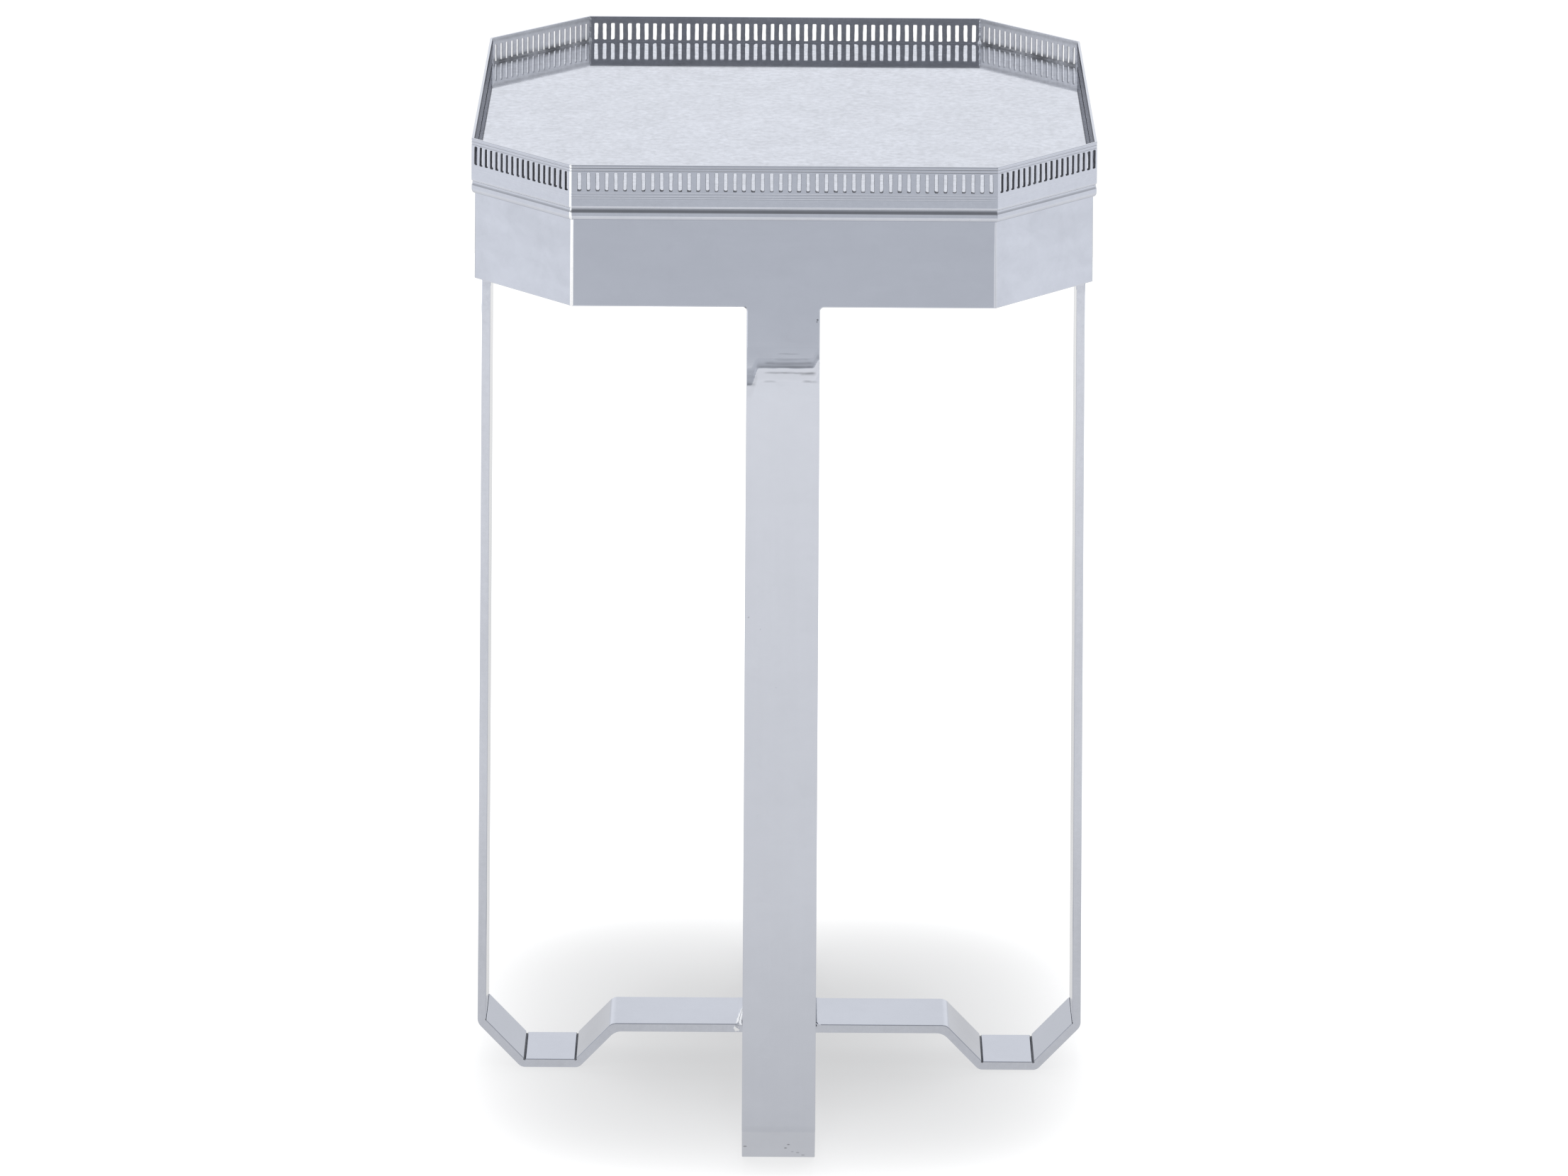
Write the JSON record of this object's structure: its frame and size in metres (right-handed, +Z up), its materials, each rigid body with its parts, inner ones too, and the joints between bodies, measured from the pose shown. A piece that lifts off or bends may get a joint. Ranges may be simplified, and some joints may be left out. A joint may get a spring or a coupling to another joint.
{
  "type": "octagonal tray table",
  "caption": "Free-standing side table with a lift-off octagonal tray, pierced gallery rim, plate apron and crossed flat-bar legs.",
  "frame": {"origin": "on the floor, at the centre of the four feet, below the centre of the tray", "axes": "+Z up; -Y is the front; +X to the right seen from the front; X and Y run square to the long sides"},
  "size_m": [0.432, 0.432, 0.688],
  "materials": {
    "tray_floor": "mirror-polished plate with faint lengthwise rubbing marks",
    "gallery": "polished, bright edges, slightly uneven hand finish",
    "moulding": "polished drawn half-round moulding",
    "apron": "polished plate with soft mottled reflections",
    "bar": "polished flat bar with eased edges",
    "weld": "brazed and ground seam, a little duller than the plate"
  },
  "bodies": {
    "stand": {"apron_front": "apron", "apron_right": "apron", "apron_back": "apron", "apron_left": "apron", "apron_front_right": "apron", "apron_back_right": "apron", "apron_back_left": "apron", "apron_front_left": "apron", "brazing_front_to_front_left": "weld", "brazing_front_to_front_right": "weld", "brazing_right_to_front_right": "weld", "brazing_right_to_back_right": "weld", "brazing_back_to_back_right": "weld", "brazing_back_to_back_left": "weld", "brazing_left_to_back_left": "weld", "brazing_left_to_front_left": "weld", "frame_front_back": "bar", "frame_left": "bar", "frame_right": "bar", "stretcher_weld_left": "weld", "stretcher_weld_right": "weld", "leg_weld_front": "weld", "leg_weld_right": "weld", "leg_weld_back": "weld", "leg_weld_left": "weld"},
    "tray": {"tray_floor": "tray_floor", "gallery_front": "gallery", "gallery_right": "gallery", "gallery_back": "gallery", "gallery_left": "gallery", "gallery_front_right": "gallery", "gallery_back_right": "gallery", "gallery_back_left": "gallery", "gallery_front_left": "gallery", "moulding_front": "moulding", "moulding_right": "moulding", "moulding_back": "moulding", "moulding_left": "moulding", "moulding_front_right": "moulding", "moulding_back_right": "moulding", "moulding_back_left": "moulding", "moulding_front_left": "moulding"}
  },
  "joints": [
    {"name": "tray_lift", "type": "slide", "parent": "stand", "child": "tray", "axis": [0, 0, 1], "range_m": [0, 0.02]}
  ]
}
